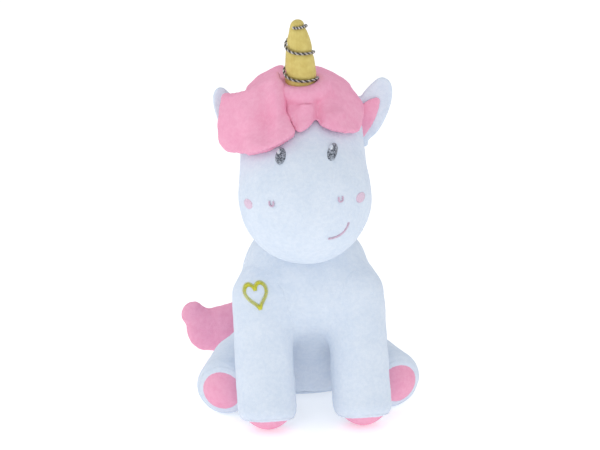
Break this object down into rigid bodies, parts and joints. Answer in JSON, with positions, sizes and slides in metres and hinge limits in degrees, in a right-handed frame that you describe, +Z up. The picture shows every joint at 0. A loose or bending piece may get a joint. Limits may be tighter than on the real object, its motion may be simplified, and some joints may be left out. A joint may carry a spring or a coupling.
{
  "type": "plush unicorn",
  "caption": "Sitting stuffed unicorn with a gold cone horn, pink forelock, mane, tail and soles, soft-jointed neck, legs, ears, horn and tail.",
  "frame": {"origin": "middle of the flat seat the toy sits on, at floor level", "axes": "+Z up, the toy faces -Y, +X is the toy's own left"},
  "size_m": [0.1809, 0.1931, 0.3082],
  "materials": {
    "white_plush": "short-pile plush, matt",
    "filling": "loose polyester fibre, matt",
    "grey_thread": "satin stitch, silky",
    "white_thread": "satin stitch, silky",
    "lilac_thread": "stitched line, silky",
    "cheek_thread": "fuzzy dot of pale pink thread",
    "pink_plush": "short-pile plush, matt",
    "gold_satin": "smooth satin cloth with a soft sheen",
    "metallic_cord": "twisted dark and silver metallic cord",
    "yellow_thread": "satin stitch outline, silky"
  },
  "bodies": {
    "torso": {"seat_panel": "white_plush", "body_panel_left": "white_plush", "body_panel_right": "white_plush", "body_filling": "filling"},
    "neck": {"neck_filling": "filling"},
    "head": {"head_front": "white_plush", "head_back": "white_plush", "head_filling": "filling", "eye_left": "grey_thread", "eye_right": "grey_thread", "eye_glint_left": "white_thread", "eye_glint_right": "white_thread", "nostril_left": "lilac_thread", "nostril_right": "lilac_thread", "mouth_stitch": "lilac_thread", "cheek_left": "cheek_thread", "cheek_right": "cheek_thread", "forelock": "pink_plush", "forelock_underlayer": "pink_plush", "forelock_flap": "pink_plush", "mane": "pink_plush"},
    "ear_left": {"ear_back_left": "white_plush", "ear_lining_left": "pink_plush"},
    "ear_right": {"ear_back_right": "white_plush", "ear_lining_right": "pink_plush"},
    "horn": {"horn_cover": "gold_satin", "horn_filling": "filling", "horn_cord": "metallic_cord"},
    "tail": {"tail_cover": "pink_plush", "tail_filling": "filling"},
    "front_leg_left": {"front_leg_cover_left": "white_plush", "front_leg_filling_left": "filling", "front_sole_left": "pink_plush"},
    "front_leg_right": {"front_leg_cover_right": "white_plush", "front_leg_filling_right": "filling", "front_sole_right": "pink_plush", "heart_stitch": "yellow_thread"},
    "hind_leg_left": {"hind_leg_cover_left": "white_plush", "hind_leg_filling_left": "filling", "hind_sole_left": "pink_plush"},
    "hind_leg_right": {"hind_leg_cover_right": "white_plush", "hind_leg_filling_right": "filling", "hind_sole_right": "pink_plush"}
  },
  "joints": [
    {"name": "neck_turn", "type": "hinge", "parent": "torso", "child": "neck", "pos_m": [0, -0.042, 0.132], "axis": [0, 0, 1], "range_deg": [-25, 30], "stiffness_Nm_per_rad": 0.8},
    {"name": "neck_nod", "type": "hinge", "parent": "neck", "child": "head", "pos_m": [0, -0.042, 0.132], "axis": [0.9907, -0.1216, 0.061], "range_deg": [-15, 8], "stiffness_Nm_per_rad": 1.5},
    {"name": "ear_left_fold", "type": "hinge", "parent": "head", "child": "ear_left", "pos_m": [0.04083, -0.05306, 0.2107], "axis": [-0.1682, 0.0207, 0.9855], "range_deg": [-5, 25], "stiffness_Nm_per_rad": 0.05},
    {"name": "ear_right_fold", "type": "hinge", "parent": "head", "child": "ear_right", "pos_m": [-0.0515, -0.04172, 0.20501], "axis": [0.0478, -0.0059, 0.9988], "range_deg": [-25, 0], "stiffness_Nm_per_rad": 0.05},
    {"name": "horn_tilt", "type": "hinge", "parent": "head", "child": "horn", "pos_m": [-0.00827, -0.07071, 0.24993], "axis": [0.9907, -0.1216, 0.061], "range_deg": [-6, 6], "stiffness_Nm_per_rad": 0.05},
    {"name": "tail_wag", "type": "hinge", "parent": "torso", "child": "tail", "pos_m": [-0.01, 0.06, 0.042], "axis": [0, 0, 1], "range_deg": [-30, 0], "stiffness_Nm_per_rad": 0.05},
    {"name": "front_leg_left_swing", "type": "hinge", "parent": "torso", "child": "front_leg_left", "pos_m": [0.036, -0.064, 0.097], "axis": [1, 0, 0], "range_deg": [-60, 0], "stiffness_Nm_per_rad": 0.3},
    {"name": "front_leg_right_swing", "type": "hinge", "parent": "torso", "child": "front_leg_right", "pos_m": [-0.036, -0.064, 0.097], "axis": [1, 0, 0], "range_deg": [-60, 0], "stiffness_Nm_per_rad": 0.3},
    {"name": "hind_leg_left_splay", "type": "hinge", "parent": "torso", "child": "hind_leg_left", "pos_m": [0.05, -0.008, 0.025], "axis": [0, 0, 1], "range_deg": [0, 20], "stiffness_Nm_per_rad": 0.3},
    {"name": "hind_leg_right_splay", "type": "hinge", "parent": "torso", "child": "hind_leg_right", "pos_m": [-0.05, -0.008, 0.025], "axis": [0, 0, 1], "range_deg": [-20, 0], "stiffness_Nm_per_rad": 0.3}
  ]
}
